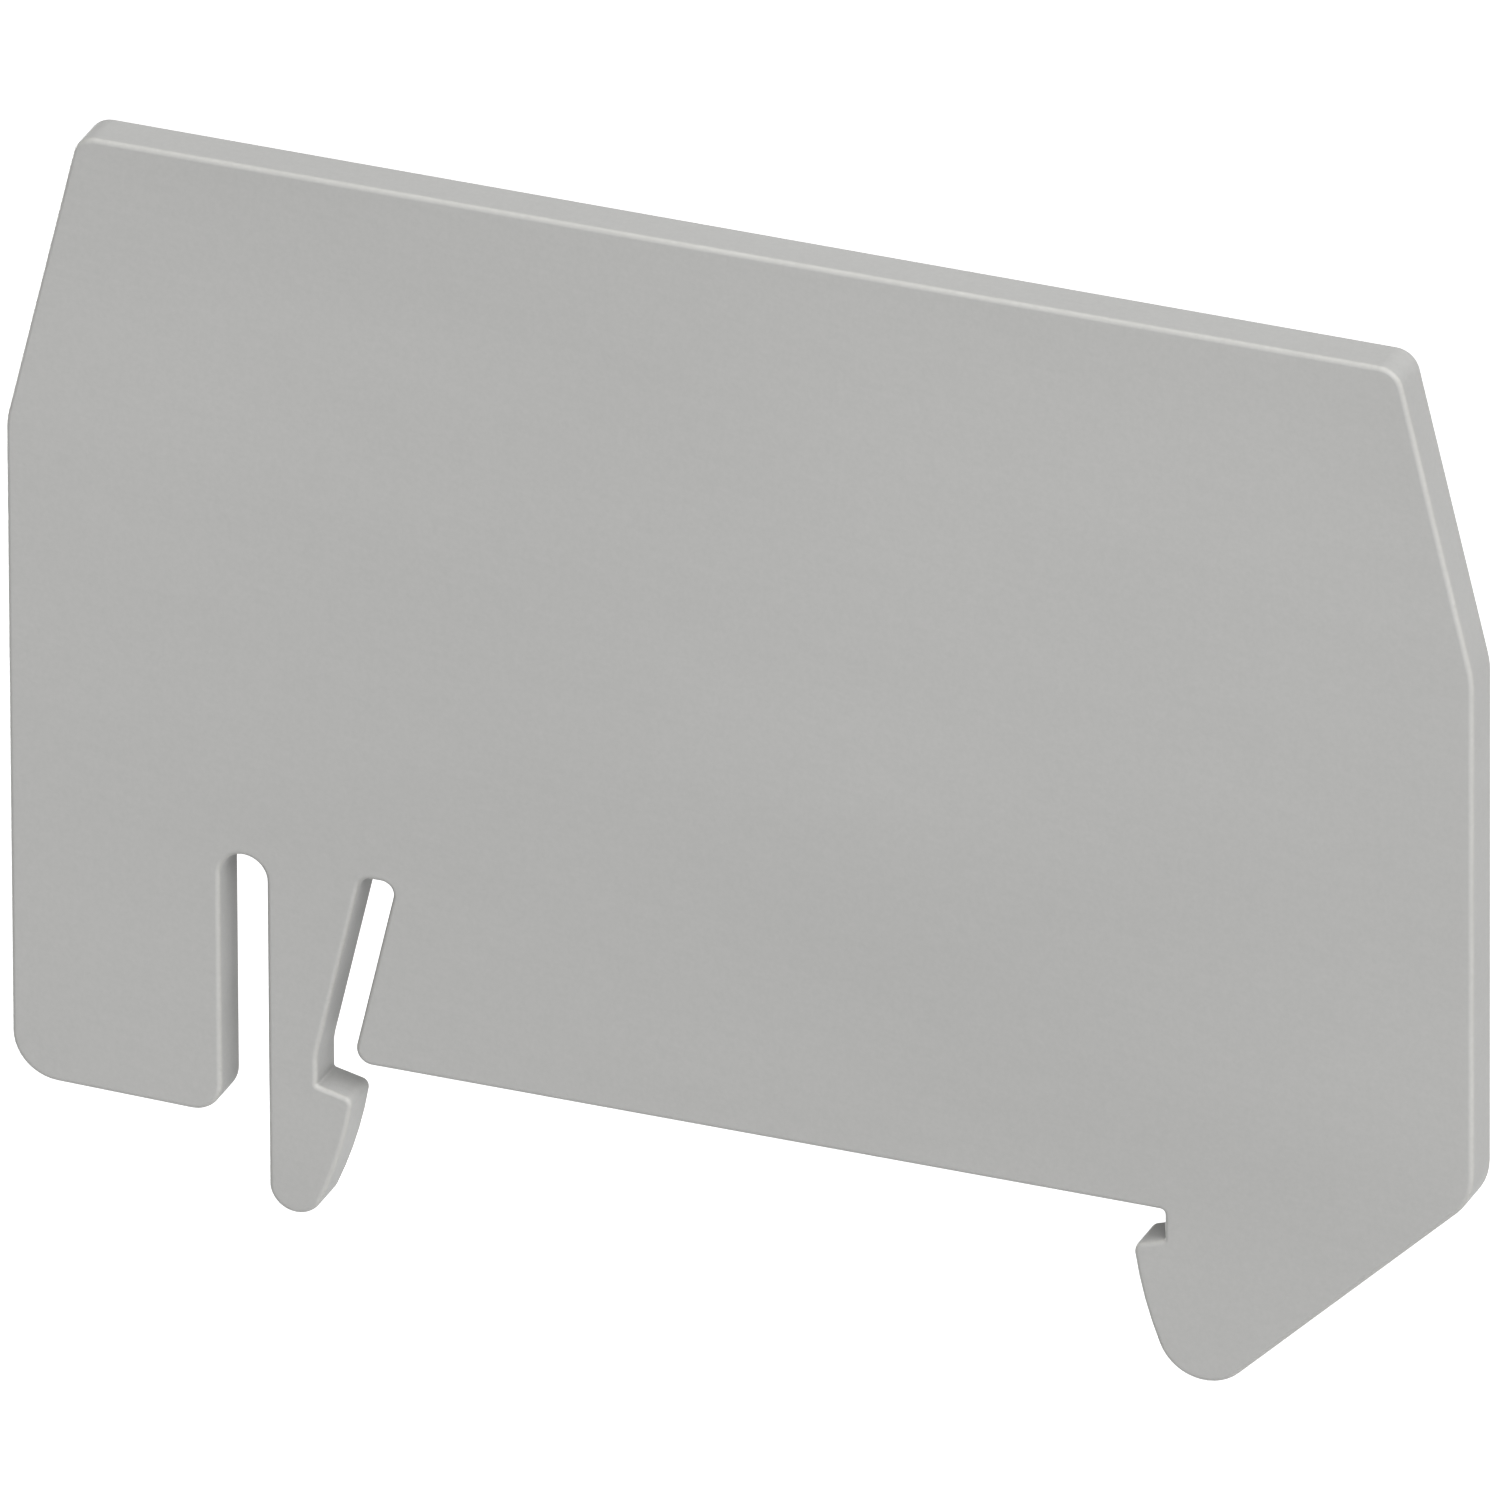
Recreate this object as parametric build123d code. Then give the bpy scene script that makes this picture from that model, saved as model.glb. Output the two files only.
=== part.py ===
from build123d import *
from math import cos, radians, sin, tan
import os

# Sizes are in millimetres and angles in degrees.
# X runs along the plate, Y through its thickness and Z up. The origin is in the middle
# of the straight edge that sits on the mounting rail, half way through the thickness.

# Top-hat rail that the plate snaps onto, and the play that it is given there
rail_width = 35.0
rail_play = 0.4
lip_thickness = 1.0
lip_play = 0.3

# Panel
plate_thickness = 2.0
plate_width = 61.0
top_width = 54.8
top_height = 38.15
shoulder_height = 25.35
top_corner_radius = 1.0
shoulder_radius = 3.3
edge_round = 0.2

# Fixed foot on the right: its hook goes under one lip of the rail
low_corner_height = 2.8
low_corner_radius = 2.33
hook_toe_offset = 1.07
hook_toe_depth = 8.46
hook_reach = 1.32
hook_shelf_fall = 17.0
hook_back_radius = 17.0
hook_toe_radius = 2.02
hook_tip_radius = 0.42

# Spring foot on the left: it bends outwards and snaps under the other lip
spring_width = 2.04
spring_bend_radius = 2.5
spring_reach = 1.5
spring_shelf_fall = 13.0
spring_back_lean = 8.8
spring_back_radius = 18.6
spring_toe_radius = 1.12
spring_tip_radius = 0.35

# Slots that free the spring foot from the panel
outer_slot_width = 1.97
outer_slot_top = 8.18
inner_slot_width = 1.48
inner_slot_top = 8.12
inner_slot_lean = 13.2
inner_slot_corner_radius = 0.5
inner_slot_mouth_radius = 0.66

# Guard foot beside the spring foot
guard_depth = 3.33
guard_slope = 1.17
guard_outer_radius = 1.92
guard_inner_radius = 1.24

# Small corners where the feet meet the panel
notch_root_radius = 0.1
seat_corner_radius = 0.2

# Worked out from the sizes above
side_x = plate_width / 2
top_x = top_width / 2
wall_x = (rail_width + rail_play) / 2
notch_z = -(lip_thickness + lip_play)
spring_outer_x = -wall_x - spring_width
guard_inner_x = spring_outer_x - outer_slot_width


def shelf_z(reach, fall):
    """Height of a hook's sharp tip, at the end of its sloping shelf."""
    return notch_z - reach * tan(radians(fall))


def slot_wall_x(start_x, z):
    """Place of a wall of the leaning slot at height z."""
    return start_x + z * tan(radians(inner_slot_lean))


def sharp_corners():
    """The outline's corners before they are rounded, as (x, z)."""
    mouth_x = inner_slot_width - wall_x
    guard_rise = (side_x + guard_inner_x) * tan(radians(guard_slope))
    return {
        "top_left": (-top_x, top_height),
        "top_right": (top_x, top_height),
        "right_shoulder": (side_x, shoulder_height),
        "right_low": (side_x, low_corner_height),
        "hook_toe": (wall_x + hook_toe_offset, -hook_toe_depth),
        "hook_tip": (wall_x - hook_reach, shelf_z(hook_reach, hook_shelf_fall)),
        "hook_root": (wall_x, notch_z),
        "seat_right": (wall_x, 0),
        "seat_left": (mouth_x, 0),
        "inner_slot_right": (slot_wall_x(mouth_x, inner_slot_top), inner_slot_top),
        "inner_slot_left": (slot_wall_x(-wall_x, inner_slot_top), inner_slot_top),
        "spring_bend": (-wall_x, 0),
        "spring_root": (-wall_x, notch_z),
        "spring_tip": (spring_reach - wall_x, shelf_z(spring_reach, spring_shelf_fall)),
        "guard_inner": (guard_inner_x, -guard_depth),
        "guard_outer": (-side_x, guard_rise - guard_depth),
        "left_shoulder": (-side_x, shoulder_height),
    }


def hook_back(corner):
    """Curved lead-in face of the fixed hook, from its toe up to its tip."""
    return RadiusArc(corner["hook_toe"], corner["hook_tip"], hook_back_radius)


def spring_back(corner):
    """Curved lead-in face of the spring foot, from its tip to its straight outer side."""
    lean = radians(spring_back_lean)
    outer_side = Axis((spring_outer_x, 0), (0, -1))
    return JernArc(corner["spring_tip"], (-sin(lean), -cos(lean)), spring_back_radius, outer_side)


def outer_slot_end():
    """Full round at the top of the upright slot."""
    radius = outer_slot_width / 2
    middle = (spring_outer_x - radius, outer_slot_top)
    start = (spring_outer_x, outer_slot_top - radius)
    end = (guard_inner_x, outer_slot_top - radius)
    return ThreePointArc(start, middle, end)


def sharp_outline(corner, hook, spring, slot_end):
    """The outline with sharp corners, as a flat face."""
    underside = ["hook_tip", "hook_root", "seat_right", "seat_left", "inner_slot_right"]
    underside += ["inner_slot_left", "spring_bend", "spring_root", "spring_tip"]
    panel = ["guard_inner", "guard_outer", "left_shoulder", "top_left", "top_right"]
    panel += ["right_shoulder", "right_low", "hook_toe"]
    edges = [
        Polyline(*[corner[name] for name in underside]),
        spring,
        Line(spring @ 1, slot_end @ 0),
        slot_end,
        Polyline(slot_end @ 1, *[corner[name] for name in panel]),
        hook,
    ]
    return make_face(edges)


def rounded_outline():
    """The plate's outline with each corner rounded to its own radius."""
    corner = sharp_corners()
    hook = hook_back(corner)
    spring = spring_back(corner)
    rounding = {
        "top_left": top_corner_radius,
        "top_right": top_corner_radius,
        "right_shoulder": shoulder_radius,
        "left_shoulder": shoulder_radius,
        "right_low": low_corner_radius,
        "hook_toe": hook_toe_radius,
        "hook_tip": hook_tip_radius,
        "hook_root": notch_root_radius,
        "seat_right": seat_corner_radius,
        "seat_left": inner_slot_mouth_radius,
        "inner_slot_right": inner_slot_corner_radius,
        "inner_slot_left": inner_slot_corner_radius,
        "spring_bend": spring_bend_radius,
        "spring_root": notch_root_radius,
        "spring_tip": spring_tip_radius,
        "spring_toe": spring_toe_radius,
        "guard_inner": guard_inner_radius,
        "guard_outer": guard_outer_radius,
    }
    outline = sharp_outline(corner, hook, spring, outer_slot_end())
    corner["spring_toe"] = spring @ 1
    for name, radius in rounding.items():
        vertex = outline.vertices().sort_by_distance(corner[name])[0]
        outline = fillet(vertex, radius)
    return outline


def partition_plate():
    """The moulded plate: one flat wall with softly rounded edges on both faces."""
    body = extrude(Plane.XZ * rounded_outline(), plate_thickness / 2, both=True)
    across = body.faces().sort_by(Axis.Y)
    rims = across[0].edges() + across[-1].edges()
    plate = fillet(rims, edge_round)
    plate.label = "partition_plate"
    return plate


os.makedirs("parts", exist_ok=True)
export_step(partition_plate(), "parts/partition_plate.step")
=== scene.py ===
import bpy
from math import cos, radians, sin
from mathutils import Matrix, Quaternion, Vector


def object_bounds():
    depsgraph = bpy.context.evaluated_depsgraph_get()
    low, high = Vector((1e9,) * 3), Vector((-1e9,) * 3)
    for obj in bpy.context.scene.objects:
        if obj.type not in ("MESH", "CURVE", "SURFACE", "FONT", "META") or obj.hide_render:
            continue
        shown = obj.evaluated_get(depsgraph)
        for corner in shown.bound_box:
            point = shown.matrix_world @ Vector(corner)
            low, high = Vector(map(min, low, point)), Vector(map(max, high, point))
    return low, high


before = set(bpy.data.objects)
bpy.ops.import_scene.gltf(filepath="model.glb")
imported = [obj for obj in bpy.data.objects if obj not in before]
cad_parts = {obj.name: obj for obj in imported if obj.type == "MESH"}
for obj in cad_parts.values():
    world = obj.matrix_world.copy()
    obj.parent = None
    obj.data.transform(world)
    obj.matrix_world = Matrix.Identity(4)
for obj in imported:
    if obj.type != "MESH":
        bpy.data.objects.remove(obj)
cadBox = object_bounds()
print("frame loaded:", ", ".join(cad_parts))

# Lengths are in metres and angles in degrees.
# X runs along the plate, Y through it to the back and Z up, away from the rail.

noiseRange = (0.3, 0.7)    # most of a noise's values lie between these


def directionTo(azimuth, elevation):
    # towards a lamp or the camera; azimuth 0 is straight in front, and 90 is the fixed hook's side
    a, e = radians(azimuth), radians(elevation)
    return Vector((sin(a) * cos(e), -cos(a) * cos(e), sin(e)))


def addNode(tree, kind, x, y, **settings):
    node = tree.nodes.new(kind)
    node.location = (x, y)
    for name, value in settings.items():
        setattr(node, name, value)
    return node


def fill(tree, socket, value):
    # gives a socket a link, a colour, a vector or a number
    if isinstance(value, bpy.types.NodeSocket):
        tree.links.new(value, socket)
    elif isinstance(value, tuple) and socket.type == "RGBA":
        socket.default_value = (*value, 1)
    else:
        socket.default_value = value


def compute(tree, operation, first, second, x, y):
    node = addNode(tree, "ShaderNodeMath", x, y, operation=operation)
    fill(tree, node.inputs[0], first)
    fill(tree, node.inputs[1], second)
    return node.outputs[0]


def mixColours(tree, mode, factor, first, second, x, y):
    # of this node's sockets, 0 is the factor, 6 and 7 are the colours and 2 is the mixed colour
    mix = addNode(tree, "ShaderNodeMix", x, y, data_type="RGBA", blend_type=mode)
    fill(tree, mix.inputs[0], factor)
    fill(tree, mix.inputs[6], first)
    fill(tree, mix.inputs[7], second)
    return mix.outputs[2]


def remap(tree, value, fromRange, toRange, x, y):
    node = addNode(tree, "ShaderNodeMapRange", x, y)
    fill(tree, node.inputs["Value"], value)
    fill(tree, node.inputs["From Min"], fromRange[0])
    fill(tree, node.inputs["From Max"], fromRange[1])
    fill(tree, node.inputs["To Min"], toRange[0])
    fill(tree, node.inputs["To Max"], toRange[1])
    return node.outputs["Result"]


# The plate: one piece of light grey moulded polyamide

plateLook = {
    "node": "partition_plate",
    "colour": (0.4725, 0.4715, 0.461),    # light grey
    "warmColour": (0.4765, 0.472, 0.4445),    # the same resin where it looks a trace yellower
    # each pattern is stretched along the flow of the resin, and darkens it by up to its depth;
    # start is where along X its noise is read, so another start gives other clouds
    "patterns": {
        "clouds": {
            "size": 0.01713, "detail": 3.0, "stretch": 3.025,
            "tilt": 6.55, "start": 21.7658, "depth": 0.055,
        },
        "bands": {
            "size": 0.009, "detail": 1.0, "stretch": 3.29,
            "tilt": -1.9, "start": 3.0903, "depth": 0.023,
        },
        "streaks": {
            "size": 0.00022, "detail": 1.0, "stretch": 16.0,
            "tilt": 6.0, "start": 0.31, "depth": 0.012,
        },
        "specks": {
            "size": 0.00019, "detail": 2.0, "stretch": 1.0,
            "tilt": 0.0, "start": 0.2, "depth": 0.034,
        },
        "grain": {
            "size": 0.00042, "detail": 2.0, "stretch": 1.0,
            "tilt": 0.0, "start": 0.0, "depth": 0.018,
        },
    },
    "paintedShadeReach": 0.003,    # painted shade: slots and notches narrower than this are painted darker inside
    "paintedShadeDepth": 0.35,
    "paintedShadeSamples": 3,
    "roughness": 0.5,
    "roughnessSpread": 0.03,
    "reflection": 0.4,    # 0.5 is an ordinary plastic
    "waves": {"size": 0.0024, "detail": 1.0},    # slow waves that make the light on an edge uneven
    "waveHeight": 0.000004,
    "skin": {"size": 0.0002, "detail": 2.0},    # fine spark-eroded skin
    "skinHeight": 0.000006,
    "rimWarmth": 0.6,    # how far the rounded rims go to the warm colour
    "rimPaintedHighlight": 0.12,    # painted highlight: how much lighter the colour is made on the brightest spots of the rims
    "rimSteadiness": 0.2,    # share of that painted highlight which is left where the waves are low
    "rimPolish": 0.08,    # how much smoother the rims are
}


def noiseAt(tree, coordinates, pattern, x, y):
    noise = addNode(tree, "ShaderNodeTexNoise", x, y)
    fill(tree, noise.inputs["Vector"], coordinates)
    fill(tree, noise.inputs["Scale"], 1 / pattern["size"])
    fill(tree, noise.inputs["Detail"], pattern["detail"])
    return noise.outputs["Fac"]


def flowNoise(tree, place, pattern, x, y):
    # turns the coordinates to the flow of the resin, then squeezes them along it
    turned = addNode(tree, "ShaderNodeMapping", x, y)
    fill(tree, turned.inputs["Vector"], place)
    fill(tree, turned.inputs["Location"], (pattern["start"], 0, 0))
    fill(tree, turned.inputs["Rotation"], (0, radians(-pattern["tilt"]), 0))
    squeezed = addNode(tree, "ShaderNodeMapping", x + 200, y)
    fill(tree, squeezed.inputs["Vector"], turned.outputs["Vector"])
    fill(tree, squeezed.inputs["Scale"], (1 / pattern["stretch"], 1, 1))
    return noiseAt(tree, squeezed.outputs["Vector"], pattern, x + 400, y)


def paintedCreaseShade(tree, look, x, y):
    # painted shade: 1 in the open, and less inside slots and notches, where the colour is darkened to
    # stand in for the shade there
    samples = look["paintedShadeSamples"]
    creaseOcclusion = addNode(tree, "ShaderNodeAmbientOcclusion", x, y, samples=samples, only_local=True)
    fill(tree, creaseOcclusion.inputs["Distance"], look["paintedShadeReach"])
    return remap(tree, creaseOcclusion.outputs["AO"], (0.0, 1.0), (1 - look["paintedShadeDepth"], 1.0), x + 250, y)


def patternShade(tree, look, place, x, y):
    # the painted shade inside the slots and notches, darkened further by each pattern in turn
    shade = paintedCreaseShade(tree, look, x, y + 300)
    for row, pattern in enumerate(look["patterns"].values()):
        level = y - 300 * row
        noise = flowNoise(tree, place, pattern, x, level)
        darkening = remap(tree, noise, noiseRange, (1 - pattern["depth"], 1.0), x + 700, level)
        shade = compute(tree, "MULTIPLY", shade, darkening, x + 950, level)
    return shade


def rimMask(tree, x, y):
    # 1 half way round the rounded rims, and 0 on the two faces and the edge walls
    normal = addNode(tree, "ShaderNodeTexCoord", x, y).outputs["Normal"]
    parts = addNode(tree, "ShaderNodeSeparateXYZ", x + 200, y)
    fill(tree, parts.inputs[0], normal)
    facing = compute(tree, "ABSOLUTE", parts.outputs["Y"], 0.0, x + 400, y)
    aside = compute(tree, "SUBTRACT", 1.0, facing, x + 600, y - 80)
    both = compute(tree, "MULTIPLY", facing, aside, x + 800, y)
    return compute(tree, "MULTIPLY", both, 4.0, x + 1000, y)    # both is a quarter at the most


def paintedRimHighlight(tree, look, rim, skin, waves, x, y):
    # painted highlight: 1 away from the rims, and above 1 on the spots along them that are painted
    # lighter
    spots = remap(tree, skin, noiseRange, (0.0, look["rimPaintedHighlight"]), x, y)
    share = remap(tree, waves, noiseRange, (look["rimSteadiness"], 1.0), x, y - 250)
    patches = compute(tree, "MULTIPLY", spots, share, x + 200, y)
    onRims = compute(tree, "MULTIPLY", rim, patches, x + 350, y)
    return compute(tree, "ADD", onRims, 1.0, x + 500, y)


def polyamideColour(tree, look, place, rim, skin, waves):
    shade = patternShade(tree, look, place, -1900, 800)
    # the painted highlight on the rims, which lightens the colour there
    paintedHighlight = paintedRimHighlight(tree, look, rim, skin, waves, -1200, -700)
    fullShade = compute(tree, "MULTIPLY", shade, paintedHighlight, -600, 0)
    warmth = compute(tree, "MULTIPLY", rim, look["rimWarmth"], -900, -500)
    tint = mixColours(tree, "MIX", warmth, look["colour"], look["warmColour"], -700, 500)
    return mixColours(tree, "MULTIPLY", 1.0, tint, fullShade, -400, 300)


def polyamideRoughness(tree, look, rim, waves):
    smoothest = look["roughness"] - look["roughnessSpread"]
    roughest = look["roughness"] + look["roughnessSpread"]
    uneven = remap(tree, waves, noiseRange, (smoothest, roughest), -700, -150)
    polish = compute(tree, "MULTIPLY", rim, look["rimPolish"], -700, -350)
    return compute(tree, "SUBTRACT", uneven, polish, -400, -150)


def addBump(tree, height, distance, x, y):
    bump = addNode(tree, "ShaderNodeBump", x, y)
    fill(tree, bump.inputs["Height"], height)
    fill(tree, bump.inputs["Distance"], distance)
    return bump


def mouldedPolyamide(look):
    material = bpy.data.materials.new("mouldedPolyamide")
    material.use_nodes = True
    tree = material.node_tree
    shader = tree.nodes["Principled BSDF"]
    place = addNode(tree, "ShaderNodeTexCoord", -2200, 0).outputs["Object"]
    rim = rimMask(tree, -2200, -700)
    skin = noiseAt(tree, place, look["skin"], -1500, -800)
    waves = noiseAt(tree, place, look["waves"], -1500, -500)
    wavy = addBump(tree, waves, look["waveHeight"], -700, -600)
    fine = addBump(tree, skin, look["skinHeight"], -400, -500)
    fill(tree, fine.inputs["Normal"], wavy.outputs["Normal"])
    fill(tree, shader.inputs["Base Color"], polyamideColour(tree, look, place, rim, skin, waves))
    fill(tree, shader.inputs["Roughness"], polyamideRoughness(tree, look, rim, waves))
    fill(tree, shader.inputs["Normal"], fine.outputs["Normal"])
    fill(tree, shader.inputs["Specular IOR Level"], look["reflection"])
    return material


def finishPlate(look):
    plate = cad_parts[look["node"]]
    material = mouldedPolyamide(look)
    for slot in plate.material_slots:
        slot.material = material
    print("plate finished:", len(plate.data.polygons), "faces")


# The studio: a white floor well below, a white surround, soft lamps and the camera

floorLook = {
    "depth": 0.25,    # the plate is held clear of the floor, as on its rail
    "size": 6.0,
    "paint": (0.5, 0.5, 0.5),
    "whitening": 0.95,    # brings the lit paint up to white for the camera and in reflections
}


def seenDirectly(tree, x, y):
    # 1 for the rays that look straight at a surface, or at it in a reflection or through glass
    path = addNode(tree, "ShaderNodeLightPath", x, y)
    straight, mirrored = path.outputs["Is Camera Ray"], path.outputs["Is Glossy Ray"]
    seen = compute(tree, "MAXIMUM", straight, mirrored, x + 200, y)
    return compute(tree, "MAXIMUM", seen, path.outputs["Is Transmission Ray"], x + 400, y)


def studioPaper(look):
    material = bpy.data.materials.new("studioPaper")
    material.use_nodes = True
    tree = material.node_tree
    shader = tree.nodes["Principled BSDF"]
    whitening = compute(tree, "MULTIPLY", seenDirectly(tree, -900, 0), look["whitening"], -250, 0)
    fill(tree, shader.inputs["Base Color"], look["paint"])
    fill(tree, shader.inputs["Roughness"], 1.0)
    fill(tree, shader.inputs["Specular IOR Level"], 0.0)
    fill(tree, shader.inputs["Emission Color"], (1, 1, 1))
    fill(tree, shader.inputs["Emission Strength"], whitening)
    return material


def addFloor(look):
    half = look["size"] / 2
    z = cadBox[0].z - look["depth"]
    corners = [(-half, -half, z), (half, -half, z), (half, half, z), (-half, half, z)]
    mesh = bpy.data.meshes.new("floor")
    mesh.from_pydata(corners, [], [(0, 1, 2, 3)])
    mesh.materials.append(studioPaper(look))
    floor = bpy.data.objects.new("floor", mesh)
    bpy.context.scene.collection.objects.link(floor)
    print("floor laid")


lightPlan = {
    "surround": 0.01,    # dim even light from all round
    "lamps": {
        "key": {"azimuth": 45, "elevation": 40, "distance": 1.2, "size": 0.7, "power": 11.3},
        "front": {"azimuth": 0, "elevation": 15, "distance": 0.6, "size": 0.35, "power": 1.0},
        "top": {"azimuth": -45, "elevation": 78, "distance": 0.6, "size": 0.35, "power": 1.75},
        "right": {"azimuth": 85, "elevation": 15, "distance": 1.2, "size": 0.7, "power": 3.5},
        "low": {"azimuth": 68, "elevation": -27, "distance": 0.6, "size": 0.2, "power": 0.85},
        "back": {"azimuth": -125, "elevation": -15, "distance": 0.6, "size": 0.2, "power": 1.7},
    },
}


def addSurround(strength):
    world = bpy.data.worlds.new("studio")
    world.use_nodes = True
    bpy.context.scene.world = world
    tree = world.node_tree
    background = tree.nodes["Background"]
    level = remap(tree, seenDirectly(tree, -900, 0), (0.0, 1.0), (strength, 1.0), -250, 0)
    fill(tree, background.inputs["Color"], (1, 1, 1))
    fill(tree, background.inputs["Strength"], level)


def addLamp(name, plan, target):
    lamp = bpy.data.lights.new(name, "AREA")
    lamp.shape = "SQUARE"
    lamp.size = plan["size"]
    lamp.energy = plan["power"]
    holder = bpy.data.objects.new(name, lamp)
    direction = directionTo(plan["azimuth"], plan["elevation"])
    holder.location = target + direction * plan["distance"]
    holder.rotation_mode = "QUATERNION"
    holder.rotation_quaternion = (-direction).to_track_quat("-Z", "Y")
    bpy.context.scene.collection.objects.link(holder)


def addLights(plan):
    middle = (cadBox[0] + cadBox[1]) / 2
    addSurround(plan["surround"])
    for name, lamp in plan["lamps"].items():
        addLamp(name, lamp, middle)
    print("lights placed:", ", ".join(plan["lamps"]))


cameraPlan = {
    "azimuth": 22.119,    # round from the front, towards the fixed hook
    "elevation": 27.119,
    "roll": 0.287,
    "distance": 2.6,
    "reach": 10.4,    # how far the camera sees
    "frameWidth": 0.057922,    # what the picture spans at the plate
    "target": (0.000132, 0.0, 0.01623),
    "sensor": 36.0,    # mm
}


def addCamera(plan):
    lens = bpy.data.cameras.new("camera")
    lens.sensor_width = plan["sensor"]
    lens.lens = plan["sensor"] * plan["distance"] / plan["frameWidth"]
    lens.clip_end = plan["reach"]
    camera = bpy.data.objects.new("camera", lens)
    direction = directionTo(plan["azimuth"], plan["elevation"])
    camera.location = Vector(plan["target"]) + direction * plan["distance"]
    camera.rotation_mode = "QUATERNION"
    level = (-direction).to_track_quat("-Z", "Y")
    camera.rotation_quaternion = level @ Quaternion((0, 0, 1), -radians(plan["roll"]))
    bpy.context.scene.collection.objects.link(camera)
    bpy.context.scene.camera = camera
    print("camera placed, lens", round(lens.lens), "mm")


bpy.context.scene.view_settings.view_transform = "Standard"
finishPlate(plateLook)
addFloor(floorLook)
addLights(lightPlan)
addCamera(cameraPlan)
